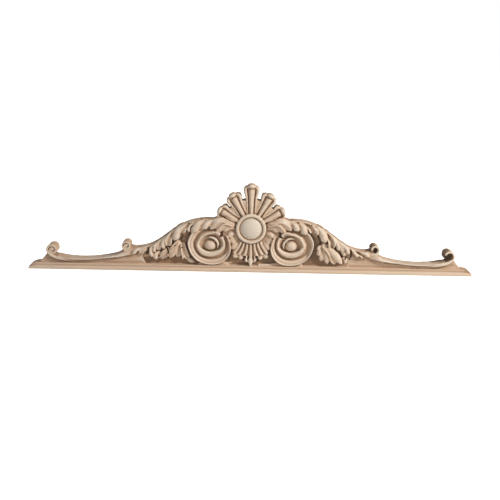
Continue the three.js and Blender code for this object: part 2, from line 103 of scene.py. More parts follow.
def ranged(tree, value, source, target=(0.0, 1.0)):
    """A value moved from one range to another, and kept inside the second."""
    return add(tree, "ShaderNodeMapRange", {}, {
        "Value": value, "From Min": source[0], "From Max": source[1],
        "To Min": target[0], "To Max": target[1]}).outputs["Result"]


def linear(code):
    """An sRGB hex colour as the linear numbers that a shader wants."""
    shares = [int(code[i:i + 2], 16) / 255 for i in (1, 3, 5)]
    return [s / 12.92 if s <= 0.04045 else ((s + 0.055) / 1.055) ** 2.4 for s in shares] + [1.0]


def new_object(name, data):
    thing = bpy.data.objects.new(name, data)
    bpy.context.scene.collection.objects.link(thing)
    return thing


print("helpers ready")

# %% [markdown]
# ## The wood
# Bare beech, carved and sanded, has no varnish: it is matt and pinkish cream. A painted highlight
# makes the raised parts paler, and painted shade turns the deep cuts brown. The grain runs along the
# board.
# So the colour is made of three things: a slow change from board to board, fine streaks along x, and a
# value stored on the mesh that says how deep a point lies below its neighbours, which sets the painted
# shade and highlight. The dome of the rosette is painted paler and greyer, as a painted cool
# highlight.
#
# Beech flecks are about 0.4 mm wide and 3 mm long, too fine for a picture where one pixel is over
# 2 mm, so the streaks are drawn over four times as wide, and longer still.

# %% Beech, carved and sanded
STREAK_WIDTH = 1.8
STREAK_LENGTH = 42.0
BOARD_WIDTH = 70.0
BOARD_STRETCH = 0.3
ROSETTE_Y = 98.5
DOME_FOOT = 28.5
# tones of the ramp: pale wood with a painted highlight on raised parts, plain sanded wood, then
# painted shade and deep painted shade in the cuts
PALE_WOOD_AND_HIGHLIGHT = "#EADECD"
SANDED = "#D0B296"
SHADED = "#8A6A49"
DEEP_SHADE = "#1F1108"
SANDED_AT = 0.34
SHADED_AT = 0.68
PINK = "#C79B84"
OLIVE = "#BDB299"
TINT_SHARE = 0.3
FLECK_TONES = (0.88, 1.06)
ROUGHNESS = (0.55, 0.72)
# the dome is painted paler and greyer: a painted cool highlight
DOME_PAINTED_LIGHT = "#DAD3C3"
DOME_LIGHT_SHARE = 0.75
DOME_EDGE = (24.8 * MM, 23.8 * MM)


def beech():
    material = bpy.data.materials.new("beech_carved_and_sanded")
    material.use_nodes = True
    tree = material.node_tree
    tree.nodes.clear()
    place = add(tree, "ShaderNodeTexCoord").outputs["Object"]

    def noise(scale, detail, roughness=0.5):
        spot = add(tree, "ShaderNodeMapping", {}, {"Vector": place, "Scale": scale})
        return add(tree, "ShaderNodeTexNoise", {}, {
            "Vector": spot.outputs["Vector"], "Scale": 1.0, "Detail": detail,
            "Roughness": roughness}).outputs["Fac"]

    fine, wide = 1 / (STREAK_WIDTH * MM), 1 / (BOARD_WIDTH * MM)
    streaks = noise((1 / (STREAK_LENGTH * MM), fine / 3, fine), 4.0, 0.6)
    boards = noise((BOARD_STRETCH * wide, wide, wide), 2.0)
    tint = mixed(tree, boards, linear(PINK), linear(OLIVE), "RGBA")
    # painted shade and painted highlight, read from the value stored on the mesh
    painted_shade = add(tree, "ShaderNodeAttribute", {"attribute_name": "painted_shade"})
    tone = add(tree, "ShaderNodeValToRGB", {}, {"Fac": painted_shade.outputs["Fac"]})
    ramp = tone.color_ramp.elements
    ramp[0].color, ramp[1].color = linear(PALE_WOOD_AND_HIGHLIGHT), linear(DEEP_SHADE)
    for position, code in ((SANDED_AT, SANDED), (SHADED_AT, SHADED)):
        ramp.new(position).color = linear(code)
    colour = mixed(tree, TINT_SHARE, tone.outputs["Color"], tint, "RGBA")
    fleck = ranged(tree, streaks, (0.3, 0.7), FLECK_TONES)
    colour = mixed(tree, 1.0, colour, fleck, "RGBA", "MULTIPLY")
    # paint the dome's cool highlight over the wood
    away = add(tree, "ShaderNodeVectorMath", {"operation": "DISTANCE"}, {
        0: place, 1: (0.0, cad_high.y - DOME_FOOT * MM, ROSETTE_Y * MM)})
    dome_light = ranged(tree, away.outputs["Value"], DOME_EDGE, (0.0, DOME_LIGHT_SHARE))
    colour = mixed(tree, dome_light, colour, linear(DOME_PAINTED_LIGHT), "RGBA")
    bump = add(tree, "ShaderNodeBump", {}, {
        "Height": streaks, "Strength": 0.25, "Distance": 0.3 * MM})
    skin = add(tree, "ShaderNodeBsdfPrincipled", {}, {
        "Base Color": colour, "Roughness": ranged(tree, streaks, (0.0, 1.0), ROUGHNESS),
        "Normal": bump.outputs["Normal"], "IOR": 1.45, "Specular IOR Level": 0.35})
    add(tree, "ShaderNodeOutputMaterial", {}, {"Surface": skin.outputs["BSDF"]})
    return material


wood = beech()
print("material", wood.name)

# %% [markdown]
# ## One tree that carves every leaf
# Leaves, gadroons, ribs, rims and beads are all the same move of the gouge: follow a line, wide here
# and narrow there, round on top or hollowed like a spoon, and run out in a rounded tip. So one
# Geometry Nodes tree makes them all. It starts from a box of many slices and bends it round a path:
# the path's own height is the crest of the leaf, and the attribute half_width on the path says how
# wide the leaf is there. Crown, hollow and tip are inputs, so a rib and a leaf differ by numbers.

# %% The leaf tree
LEAF_INPUTS = (
    ("Path", "Geometry", None),
    ("Stations", "Int", 22),
    ("Across", "Int", 15),
    ("Rise", "Float", 6.0),
    ("Hollow", "Float", 0.0),
    ("Tip", "Float", 0.3),
    ("Spring", "Float", 0.05),
    ("Foot", "Float", 8.0),
)
CONVEX = ((0.0, 0.0), (0.3, 0.05), (0.6, 0.22), (0.85, 0.55), (1.0, 1.0))
SPOON = ((0.0, 0.95), (0.3, 0.8), (0.6, 0.36), (0.82, 0.0), (0.91, 0.08), (1.0, 0.9))
END_FALL = 0.8
PAST_END = 0.001


def new_tree(name, inputs, result):
    """A geometry tree with its sockets, and the values that it is given."""
    tree = bpy.data.node_groups.new(name, "GeometryNodeTree")
    for label, kind, value in inputs:
        kind = "NodeSocket" + kind
        socket = tree.interface.new_socket(label, in_out="INPUT", socket_type=kind)
        if value is not None:
            socket.default_value = value
    tree.interface.new_socket(result, in_out="OUTPUT", socket_type="NodeSocketGeometry")
    return tree, tree.nodes.new("NodeGroupInput").outputs


def end_tree(tree, geometry, material):
    """Hand out real geometry in one material."""
    real = add(tree, "GeometryNodeRealizeInstances", {}, {"Geometry": geometry})
    done = add(tree, "GeometryNodeSetMaterial", {}, {
        "Geometry": real.outputs["Geometry"], "Material": material})
    add(tree, "NodeGroupOutput", {}, {0: done.outputs["Geometry"]})
    return tree


def leaf_tree(material):
    tree, given = new_tree("leaf along a path", LEAF_INPUTS, "Leaf")
    box = add(tree, "GeometryNodeMeshCube", {}, {
        "Size": (1.0, 1.0, 1.0), "Vertices X": given["Stations"],
        "Vertices Y": given["Across"], "Vertices Z": 2})
    spot = add(tree, "ShaderNodeSeparateXYZ", {}, {
        "Vector": add(tree, "GeometryNodeInputPosition").outputs["Position"]}).outputs
    share = maths(tree, "ADD", spot["X"], 0.5)
    across = maths(tree, "MULTIPLY", spot["Y"], 2.0)
    aside = maths(tree, "ABSOLUTE", across)
    width = add(tree, "GeometryNodeInputNamedAttribute", {"data_type": "FLOAT"}, {
        "Name": "half_width"})
    line = add(tree, "GeometryNodeMeshToCurve", {}, {"Mesh": given["Path"]})
    sample = add(tree, "GeometryNodeSampleCurve", {"mode": "FACTOR", "data_type": "FLOAT"}, {
        "Curves": line.outputs["Curve"], "Value": width.outputs["Attribute"],
        "Factor": share}).outputs

    def rounding(start, finish):
        """1 along the leaf, and down to 0 on a quarter circle between the two shares."""
        angle = maths(tree, "ARCSINE", ranged(tree, share, (start, finish)))
        return maths(tree, "COSINE", angle)

    tip_start = maths(tree, "SUBTRACT", 1.0, given["Tip"])
    ends = maths(tree, "MULTIPLY", rounding(tip_start, 1 + PAST_END),
                 rounding(given["Spring"], -PAST_END))
    half = maths(tree, "MULTIPLY", sample["Value"], ends)
    reach = maths(tree, "MULTIPLY", half, across)
    drops = []
    for shape in (CONVEX, SPOON):
        curve = add(tree, "ShaderNodeFloatCurve", {}, {"Value": aside})
        points = curve.mapping.curves[0].points
        points[0].location, points[1].location = shape[0], shape[-1]
        for place in shape[1:-1]:
            points.new(*place)
        curve.mapping.update()
        drops.append(curve.outputs["Value"])
    fall = maths(tree, "MULTIPLY_ADD", ends, -END_FALL, END_FALL)
    total = maths(tree, "ADD", mixed(tree, given["Hollow"], *drops), fall)
    crest = add(tree, "ShaderNodeSeparateXYZ", {}, {"Vector": sample["Position"]}).outputs
    top = maths(tree, "SUBTRACT", crest["Z"], maths(tree, "MULTIPLY", total, given["Rise"]))
    level = mixed(tree, maths(tree, "GREATER_THAN", spot["Z"], 0.0), given["Foot"], top)
    sideways = add(tree, "ShaderNodeVectorMath", {"operation": "CROSS_PRODUCT"}, {
        0: (0.0, 0.0, 1.0), 1: sample["Tangent"]})
    unit = add(tree, "ShaderNodeVectorMath", {"operation": "NORMALIZE"}, {
        0: sideways.outputs["Vector"]})
    offset = add(tree, "ShaderNodeVectorMath", {"operation": "SCALE"}, {
        0: unit.outputs["Vector"], "Scale": reach})
    ground = add(tree, "ShaderNodeCombineXYZ", {}, {
        "X": crest["X"], "Y": crest["Y"], "Z": level})
    target = add(tree, "ShaderNodeVectorMath", {"operation": "ADD"}, {
        0: ground.outputs["Vector"], 1: offset.outputs["Vector"]})
    bent = add(tree, "GeometryNodeSetPosition", {}, {
        "Geometry": box.outputs["Mesh"], "Position": target.outputs["Vector"]})
    return end_tree(tree, bent.outputs["Geometry"], material)


carve_leaf = leaf_tree(wood)
print(carve_leaf.name, len(carve_leaf.nodes), "nodes")

# %% [markdown]
# ## The bench
# Blanks collects the closed forms as plain lists of corners and faces, in millimetres. The helpers
# below add to it: a leaf along a path, a loft through sections, a turned form and a slab. What is to
# be cut away goes into a second list, cutters. Paths are given by the few points that a carver would
# mark, and a smooth line is run through them.

# %% Forms that go on the bench
blanks = []
cutters = []


def smooth_path(points, steps=8):
    """A smooth line through rows of numbers, by the Catmull-Rom rule."""
    rows = np.array(points, float)
    rows = np.vstack([2 * rows[0] - rows[1], rows, 2 * rows[-1] - rows[-2]])
    line = []
    for a, b, c, d in zip(rows, rows[1:], rows[2:], rows[3:]):
        for t in np.arange(steps) / steps:
            line.append(0.5 * (2 * b + (c - a) * t + (2 * a - 5 * b + 4 * c - d) * t ** 2
                               + (3 * b - a - 3 * c + d) * t ** 3))
    return np.array(line + [rows[-2]])


def plain_mesh(thing):
    """The evaluated object as corners and faces, and the object and its mesh are then removed."""
    graph = bpy.context.evaluated_depsgraph_get()
    made = bpy.data.meshes.new_from_object(thing.evaluated_get(graph))
    corners = np.empty(3 * len(made.vertices))
    made.vertices.foreach_get("co", corners)
    faces = [tuple(p.vertices) for p in made.polygons]
    source = thing.data
    bpy.data.objects.remove(thing)
    bpy.data.meshes.remove(source)
    bpy.data.meshes.remove(made)
    return corners.reshape(-1, 3), faces


def grown(thing, tree, **inputs):
    """What a node tree makes of an object, as corners and faces."""
    modifier = thing.modifiers.new("tree", "NODES")
    modifier.node_group = tree
    sockets = {s.name: s.identifier for s in tree.interface.items_tree if s.in_out == "INPUT"}
    for name, value in inputs.items():
        modifier[sockets[name.capitalize()]] = value
    return plain_mesh(thing)


def leaf(points, to=None, side=1, **inputs):
    """A leaf along points (x, height, crest, half width), carved by the leaf tree."""
    line = smooth_path(points)
    line[:, 0] *= side
    mesh = bpy.data.meshes.new("path")
    mesh.from_pydata(line[:, :3].tolist(), [(i, i + 1) for i in range(len(line) - 1)], [])
    widths = mesh.attributes.new("half_width", "FLOAT", "POINT")
    widths.data.foreach_set("value", line[:, 3].copy())
    path = new_object("path", mesh)
    (blanks if to is None else to).append(grown(path, carve_leaf, **inputs))


def loft(rings, to=None):
    """A closed form through rings of equal length, with flat ends."""
    count = len(rings[0])
    corners = np.array(rings, float).reshape(-1, 3)
    faces = []
    for r in range(len(rings) - 1):
        for i in range(count):
            j = (i + 1) % count
            near, far = r * count, (r + 1) * count
            faces.append((near + i, near + j, far + j, far + i))
    last = (len(rings) - 1) * count
    faces.append(tuple(reversed(range(count))))
    faces.append(tuple(range(last, last + count)))
    (blanks if to is None else to).append((corners, faces))


def turned(x, y, profile, steps=64, stretch=1.0, to=None):
    """A turned form whose axis runs along the depth, from a profile of (radius, depth)."""
    turns = [2 * math.pi * i / steps for i in range(steps)]
    rings = []
    for radius, depth in profile:
        size = max(radius, 0.01)
        rings.append([(x + stretch * size * math.cos(a), y + size * math.sin(a), depth)
                      for a in turns])
    loft(rings, to)


def arc(centre, size, sweep, steps=12):
    """Points on an ellipse round centre, from the angle 0 to sweep."""
    turns = [sweep * i / steps for i in range(steps + 1)]
    return [(centre[0] + size[0] * math.cos(a), centre[1] + size[1] * math.sin(a)) for a in turns]


def slab(outline, back, front, to=None):
    """A flat outline pulled from one depth to another."""
    loft([[(x, y, back) for x, y in outline], [(x, y, front) for x, y in outline]], to)


print("bench helpers ready")

# %% [markdown]
# ## Plinth
# The foot is a long moulding: a square lip, a quarter round that ends in a fine nick, and a small
# fillet on top. The same profile returns round both ends, so the ends slope down to the lip. A loft
# through cross-sections gives the straight run and the two returns in one body.

# %% Plinth
PLINTH_TOP = 12.5
PLINTH_LIP = 2.0
PLINTH_NICK = 8.4
PLINTH_SETBACK = 6.0
PLINTH_RETURN = 23.0
NICK_HEIGHT = 0.8
NICK_BACK = 1.0
FILLET_BACK = 0.4
ROUND_SHARE = 0.94


def plinth_front(share):
    """Depth of the plinth's front at a share of its height."""
    y = share * PLINTH_TOP
    if y > PLINTH_NICK:
        back = NICK_BACK if y < PLINTH_NICK + NICK_HEIGHT else FILLET_BACK
        return DEPTH - PLINTH_SETBACK - back
    rise = max(0.0, y - PLINTH_LIP) / (PLINTH_NICK - PLINTH_LIP)
    return DEPTH - PLINTH_SETBACK * (1 - math.sqrt(max(0.0, 1 - ROUND_SHARE * rise * rise)))


def plinth():
    steps = 28

    def section(x, top):
        rows = [(x, top, 0.0), (x, 0.0, 0.0)]
        return rows + [(x, top * i / steps, plinth_front(i / steps)) for i in range(steps + 1)]

    insets = [PLINTH_RETURN * (1 - math.cos(math.pi / 2 * i / 10)) for i in range(11)]
    left = []
    for inset in insets:
        share = inset / PLINTH_RETURN
        top = PLINTH_LIP / 2 + (PLINTH_TOP - PLINTH_LIP / 2) * math.sqrt(1 - (1 - share) ** 2)
        left.append((inset - LENGTH / 2, top))
    right = [(-x, top) for x, top in reversed(left)]
    loft([section(x, top) for x, top in left + right])


plinth()
print("plinth", len(blanks[-1][0]), "corners")

# %% [markdown]
# ## Top edges
# Two lines rule the outline on each side: the S-curve from the crown of the hump down to the inner
# scroll, and the sagging top of the rail from there to the outer scroll. Both are Bezier curves, and
# everything that hangs from an edge asks the curve for its height.

# %% The two ruling lines
HUMP_TOP = 118.0
CROWN = 95.0
DIP = 262.0
DIP_TOP = 50.0
INNER_SCROLL = (279.0, 54.5, 10.0)
OUTER_SCROLL = (LENGTH / 2 - 53.5, 42.5, 11.5)
RAIL_START = (INNER_SCROLL[0] + INNER_SCROLL[2], 38.0)
RAIL_END = (OUTER_SCROLL[0] - OUTER_SCROLL[2], 29.0)
RAIL_LOW = 22.5


def bezier(a, b, c, d, steps):
    t = np.linspace(0, 1, steps + 1)[:, None]
    a, b, c, d = (np.array(p, float) for p in (a, b, c, d))
    return (1 - t) ** 3 * a + 3 * (1 - t) ** 2 * t * b + 3 * (1 - t) * t ** 2 * c + t ** 3 * d


def hump_line(steps=40):
    run = DIP - CROWN
    return bezier((CROWN, HUMP_TOP), (CROWN + 0.51 * run, HUMP_TOP),
                  (CROWN + 0.58 * run, DIP_TOP), (DIP, DIP_TOP), steps)


def rail_line(steps=40):
    run = RAIL_END[0] - RAIL_START[0]
    pull = (8 * RAIL_LOW - RAIL_START[1] - RAIL_END[1]) / 6
    return bezier(RAIL_START, (RAIL_START[0] + 0.27 * run, pull + 3),
                  (RAIL_START[0] + 0.74 * run, pull - 1), RAIL_END, steps)


def hump_height(x):
    line = hump_line()
    return float(np.interp(x, line[:, 0], line[:, 1]))


print("lowest point of the rail", round(float(rail_line()[:, 1].min()), 1), "mm up")

# %% [markdown]
# ## Boards, rails and ledges
# Behind the carving lies a sunk ground, and to each side a face board that stands further forward.
# The rail's top edge is a strip with a thin square lip and a cove under it; the hump's is plain, and
# slopes back under the lobes. Either cross-section is lofted along its edge, so that it keeps its
# thickness while the edge rises and falls.

# %% Ground, face boards and strips
GROUND = 20.0
FACE = 27.0
STRIP_FRONT = 35.0
# per side: where the face board starts at the foot of the sunk ground, and how far it leans
BOARD_EDGE = {1: (228.0, 13.0), -1: (246.0, 9.0)}
# the cove at the board's outer end: x, height
BOARD_END = ((456.5, 36.0), (461.0, 31.0), (467.0, 23.5), (473.0, 17.0), (477.5, 13.2))
# the low board under the volutes: x, height, after the first mark, which differs from side to side
LOW_BOARD = ((120, 6), (116, 16), (108, 19), (60, 19), (44, 17))
LOW_BOARD_START = {1: (14, 18), -1: (46, 50)}


def rail_section(x):
    """Rows of (distance below the top edge, depth): a lip over a cove, thick near the hump."""
    lip = float(np.interp(x, (RAIL_START[0], 330), (6.5, 1.6)))
    return ((0, 0), (0, STRIP_FRONT - 2.2), (0.9, STRIP_FRONT - 0.4), (lip, STRIP_FRONT),
            (lip + 0.5, STRIP_FRONT - 2.4), (lip + 1.2, FACE - 1.0), (lip + 3.0, FACE - 0.6),
            (lip + 6.0, FACE + 2.0), (lip + 7.0, 0))


def hump_section(_x):
    """The same rows everywhere, which slope back below the edge."""
    return ((0, 0), (0, STRIP_FRONT - 5.0), (1.5, STRIP_FRONT - 4.0), (4.0, 27.5), (12.0, 25.5),
            (12.0, 0))


def strip(line, side, section):
    """A strip lofted along a top edge; section gives its rows for a place along x."""
    tangents = np.gradient(line, axis=0)
    tangents /= np.linalg.norm(tangents, axis=1)[:, None]
    rings = []
    for (x, y), (tx, ty) in zip(line, tangents):
        rings.append([(side * (x + ty * down), y - tx * down, depth) for down, depth in section(x)])
    loft(rings)


def side_board(side):
    """Face board under the rail, from the slanting edge of the ground to the cove at the end."""
    edge, slant = BOARD_EDGE[side]
    tops = [(edge, 38.0, slant), (DIP - 6, 42.0, 0.0), (DIP, DIP_TOP - 4, 0.0),
            (INNER_SCROLL[0], DIP_TOP - 6, 0.0)]
    tops += [(x, y - 2, 0.0) for x, y in rail_line(20)]
    tops += [(x, y, 0.0) for x, y in BOARD_END]
    rings = []
    for x, y, lean in tops:
        nick = float(np.interp(x, (300, 340), (3.0, 0.2)))
        rows = [(x - lean, 6, 0), (x - lean, 6, 30), (x - lean, PLINTH_TOP - 1.0, 30),
                (x - 0.9 * lean, PLINTH_TOP + 0.3, FACE - nick),
                (x - 0.85 * lean, PLINTH_TOP + 1.6, FACE - 0.7 * nick),
                (x - 0.8 * lean, 0.8 * PLINTH_TOP + 0.2 * y + 1.4, FACE),
                (x - 0.5 * lean, 0.5 * PLINTH_TOP + 0.5 * y, FACE), (x, y, FACE), (x, y, 0)]
        rings.append([(side * a, b, c) for a, b, c in rows])
    loft(rings)


def ground():
    line = hump_line(30)
    right = [(x, y - 1) for x, y in line] + [(INNER_SCROLL[0], DIP_TOP - 2), (RAIL_START[0], 6)]
    left = [(-x, y) for x, y in reversed(right)]
    slab(left + right, 0, GROUND)


ground()
for side in (1, -1):
    side_board(side)
    strip(rail_line(48), side, rail_section)
    crest_line = np.vstack([[(62.0, HUMP_TOP - 1)], hump_line(48),
                            [(DIP + 8, DIP_TOP + 1.5), (INNER_SCROLL[0] - 5, DIP_TOP + 5)]])
    strip(crest_line, side, hump_section)
    foot, top = LOW_BOARD_START[side]
    slab([(side * x, y) for x, y in ((foot, 6), *LOW_BOARD, (top, 16))], 0, FACE)
loft([[(x, 6, 0), (x, 6, depth), (x, 34, depth), (x, 34, 0)]
      for x, depth in ((190, GROUND - 1), (222, FACE - 0.5))])
print("boards and strips", len(blanks), "forms so far")

# %% [markdown]
# ## Scrolls
# Where a strip ends it curls up and back over itself, like a shaving. The curl is a band that winds
# inwards as it turns, over a core. On the right the core stays well behind it, so from the front each
# scroll is a lit rim round a shaded hollow. On the left it comes forward and a spiral cut is taken
# from it, so there each scroll is a closed roll.

# %% Scrolls
CURLS = (
    # scroll, added radius, starts at and turns through (degrees), half width, each side's core
    (INNER_SCROLL, 1, -70, 262, 2.1, {1: 20.0, -1: 33.0}),
    (OUTER_SCROLL, 2.0, -80, 245, 2.0, {1: 10.0, -1: 33.0}),
)
# leaves that grow from the rail into a scroll: x, height, crest, half width; then rise and tip
SCROLL_LEAVES = (
    (((DIP - 6, DIP_TOP - 5, 31, 5), (270, 44, 32, 5), (280, 43, 34, 4.5), (286, 47, 34.5, 3.2)),
     3, 0.15),
    (((266, 38, 30, 5), (277, 38, 33, 6), (290, 34, 34.5, 5), (304, 28, 34, 3.5)), 3, 0.2),
    (((396, 18.5, 30, 1.5), (412, 19.5, 32.5, 2.4), (426, 22, 34, 3.0), (438, 25, 34.5, 3.2),
      (449, 30, 34.5, 3.0), (456, 37, 34.5, 2.6)), 2.4, 0.15),
)


CURL_STEPS = 16
CURL_WINDS_IN = 0.16
CURL_SWELL = 0.45
CURL_SWELLS_FROM = 0.6


def curl(centre, radius, start, turn, band, side, plug):
    """A band that winds round centre, over turn degrees from start, and ends in a roll."""
    rows = []
    for i in range(CURL_STEPS + 1):
        t = i / CURL_STEPS
        angle = math.radians(start + turn * t)
        half = band * (1.0 + CURL_SWELL * max(0.0, t - CURL_SWELLS_FROM) / (1 - CURL_SWELLS_FROM))
        r = radius * (1 - CURL_WINDS_IN * t * t) - half
        rows.append((centre[0] + r * math.cos(angle), centre[1] + r * math.sin(angle),
                     STRIP_FRONT - 0.5 - 1.5 * t, half * 1.1))
    leaf(rows, side=side, rise=2.0, tip=0.12, spring=0.02, foot=0.0, stations=60)
    core = radius * 0.8
    turned(side * centre[0], centre[1], [(0, 0), (core, 0), (core, plug), (0, plug)])


def rolled_up(centre, radius):
    """The spiral cut that shows, on the left, that the scroll is a rolled strip."""
    rows = []
    for i in range(13):
        angle, r = math.radians(-10 + 25 * i), radius * (0.74 - 0.042 * i)
        rows.append((centre[0] + r * math.cos(angle), centre[1] + r * math.sin(angle), 44, 0.9))
    leaf(rows, to=cutters, side=-1, rise=1, tip=0.1, foot=26, stations=50, across=5)


for side in (1, -1):
    for scroll, wider, start, turn, band, core in CURLS:
        curl(scroll, scroll[2] + wider, start, turn, band, side, core[side])
    for points, rise, tip in SCROLL_LEAVES:
        leaf(points, side=side, rise=rise, foot=0.0, tip=tip)
for scroll in (INNER_SCROLL, OUTER_SCROLL):
    rolled_up(scroll, scroll[2])
print("scrolls", len(blanks), "forms so far")

# %% [markdown]
# ## Rosette
# A dome in a rounded ring, with a groove between them: a turned form, so a profile is revolved. Five
# rays stand above it. Each ray is the same: a plate with two rims, a round tongue between them, and
# a bead curled over the tip, with a groove cut along each side of the tongue. One ray is carved and a
# second tree sets the copies round the ring.

# %% Ring and dome
RING = 34.0
RING_BAND = 7.8
RING_FOOT = 31.5
RING_RISE = 3.5
DOME = 25.2


def rosette():
    profile = [(0, 0), (RING - 3, 0), (RING - 1, 18)]
    profile += arc((RING - RING_BAND / 2, RING_FOOT), (RING_BAND / 2, RING_RISE), math.pi)
    profile.append((DOME + 0.9, DOME_FOOT))
    profile += arc((0, DOME_FOOT), (DOME, DEPTH - 1 - DOME_FOOT), math.pi / 2)
    turned(0, ROSETTE_Y, profile, steps=128)


rosette()
print("rosette", len(blanks[-1][0]), "corners")

# %% Ray and the tree that repeats it
RAY_COUNT = 5
RAY_SPREAD = 30.5
RAY_SHORTER = 0.105
RAY_INPUTS = (("Ray", "Geometry", None), ("Count", "Int", RAY_COUNT),
              ("Spread", "Float", math.radians(RAY_SPREAD)), ("Shorter", "Float", RAY_SHORTER),
              ("Height", "Float", ROSETTE_Y))
# the sunk board behind the rays: radius, depth
WEB = ((0, 0), (65.5, 0), (65.5, 23), (64, 25.8), (56, 27), (0, 27.5))
ray_grooves = []


def one_ray():
    """One ray along +x from the middle of the rosette, as an object for the ring tree."""
    parts = []
    leaf([(26, 0, 26.5, 10.5), (50, 0, 26.5, 11), (64, 0, 26.5, 12.4), (75, 0, 26.5, 14.6),
          (83, 0, 26, 17.2), (88.5, 0, 25, 17.6), (94, 0, 23, 13)],
         to=parts, rise=3, tip=0.08, foot=0.0, stations=30)
    for side in (1, -1):
        leaf([(28, 8.2 * side, 28.5, 2.6), (50, 9.0 * side, 28.5, 2.6), (64, 9.8 * side, 28, 2.6),
              (76, 12.2 * side, 27.5, 3.2), (84, 14.2 * side, 27.5, 3.6), (90, 12.6 * side, 27, 3.6),
              (94, 8.0 * side, 26.5, 3.0)], to=parts, rise=4, tip=0.08, foot=6.0, stations=34)
        leaf([(36, 5.6 * side, 44, 0.8), (54, 6.2 * side, 44, 0.9), (72, 7.6 * side, 44, 1.1),
              (89, 9.2 * side, 44, 1.5)],
             to=ray_grooves, rise=1, tip=0.05, foot=22.0, stations=24, across=5)
        turned(88.6, 9.2 * side, [(0, 18), (1.4, 18), (1.9, 44), (0, 44)], 12, to=ray_grooves)
    leaf([(28, 0, 31.5, 4.8), (50, 0, 31.5, 5.3), (72, 0, 30.5, 6.8), (90, 0, 29, 8.0)],
         to=parts, rise=7, tip=0.1, foot=6.0, stations=30)
    leaf([(93.6, -9.2, 29, 4.4), (95.6, 0, 32.5, 4.8), (93.6, 9.2, 29, 4.4)],
         to=parts, rise=5, tip=0.35, spring=0.35, foot=10.0, stations=24)
    return joined(parts, "ray")


def joined(parts, name):
    corners, faces, start = [], [], 0
    for points, polygons in parts:
        corners.append(points)
        faces += [tuple(start + i for i in face) for face in polygons]
        start += len(points)
    mesh = bpy.data.meshes.new(name)
    mesh.from_pydata(np.vstack(corners).tolist(), [], faces)
    return new_object(name, mesh)


def ring_tree(material):
    tree, given = new_tree("rays round a ring", RAY_INPUTS, "Rays")
    centre = add(tree, "ShaderNodeCombineXYZ", {}, {"Y": given["Height"]})
    points = add(tree, "GeometryNodePoints", {}, {
        "Count": given["Count"], "Position": centre.outputs["Vector"]})
    middle = maths(tree, "MULTIPLY_ADD", given["Count"], 0.5, -0.5)
    index = add(tree, "GeometryNodeInputIndex").outputs["Index"]
    step = maths(tree, "SUBTRACT", index, middle)
    turn = add(tree, "ShaderNodeCombineXYZ", {}, {
        "Z": maths(tree, "MULTIPLY_ADD", step, given["Spread"], math.pi / 2)})
    root = maths(tree, "SQRT", maths(tree, "ABSOLUTE", step))
    reach = maths(tree, "SUBTRACT", 1.0, maths(tree, "MULTIPLY", root, given["Shorter"]))
    scale = add(tree, "ShaderNodeCombineXYZ", {}, {"X": reach, "Y": 1.0, "Z": 1.0})
    copies = add(tree, "GeometryNodeInstanceOnPoints", {}, {
        "Points": points.outputs[0], "Instance": given["Ray"],
        "Rotation": turn.outputs["Vector"], "Scale": scale.outputs["Vector"]})
    return end_tree(tree, copies.outputs["Instances"], material)


def rays():
    given = {name.lower(): value for name, _, value in RAY_INPUTS[1:]}
    blanks.append(grown(one_ray(), repeat_ray, **given))
    cutters.append(grown(joined(ray_grooves, "grooves"), repeat_ray, **given))
    turned(0, ROSETTE_Y, WEB)


repeat_ray = ring_tree(wood)
rays()
print("rays", len(blanks[-2][1]), "faces")

# %% [markdown]
# ## Fan
# Below the ring hang seven round reeds, which spread like a shell. The outer ones curve outwards. A
# scalloped lip closes the foot, with a pointed leaf in the middle and a drilled eye to each side of
# it.

# %% Fan
REEDS = (
    # springs at, bends at, ends at, half width at the foot
    ((0, 66), (0, 48), (0, 24), 4.2),
    ((7.6, 65), (9.6, 50), (15, 34), 4.6),
    ((14.6, 67), (19, 53), (27.5, 37), 4.8),
    ((20.5, 70), (27.5, 56), (38.5, 40), 4.8),
)
SHELL = (
    # x, height, crest, half width, three times
    ((15, 38, 27, 4), (22, 31, 29.5, 6.5), (25, 27, 29.5, 6.5)),
    ((26, 41, 27, 4), (34, 35, 29.5, 6.5), (38, 30, 29.5, 6.0)),
    ((8, 36, 29, 2.0), (10.5, 29, 32.5, 3.0), (8, 20, 33, 2.6)),
)


def fan():
    for start, bend, end, half in REEDS:
        for side in (1, -1) if start[0] else (1,):
            leaf([(*start, 31.5, 3.2), (*bend, 32, 3.7), (*end, 31.5, half)],
                 side=side, rise=8, tip=0.08, foot=5)
    leaf([(0, 33, 31, 3.0), (0, 27, 33, 5.0), (0, 21, 34.5, 5.0), (0, 13.0, 35.5, 0.8)],
         rise=4, tip=0.04, foot=5)
    for side in (1, -1):
        for row in SHELL:
            leaf(row, side=side, rise=4.5, tip=0.35, foot=5)
        turned(side * 13.5, 32.5, [(0, 12), (3.2, 12), (3.8, 41), (0, 42)], 16, to=cutters)
        leaf([(14.5, 31, 44, 2.0), (17, 25, 44, 2.4), (17.5, 21, 44, 1.4)],
             to=cutters, side=side, rise=1, tip=0.2, foot=14)


fan()
print("fan", 2 * len(REEDS) - 1, "reeds")

# %% [markdown]
# ## Volutes
# To each side of the rosette a C-scroll winds round a ball. From outside in there are a sharp outer
# rim, a dished floor, an inner rim, another dished floor, a thin crescent and the ball. A hollowed
# leaf already has two rims with a dish between them, so each floor is one leaf. Its rims are not
# true spirals but drawn by eye, so a floor is given by marks along both rims. A low shoulder inside
# the outer rim makes that floor fall towards the middle, and the inner rim swells below the ball.

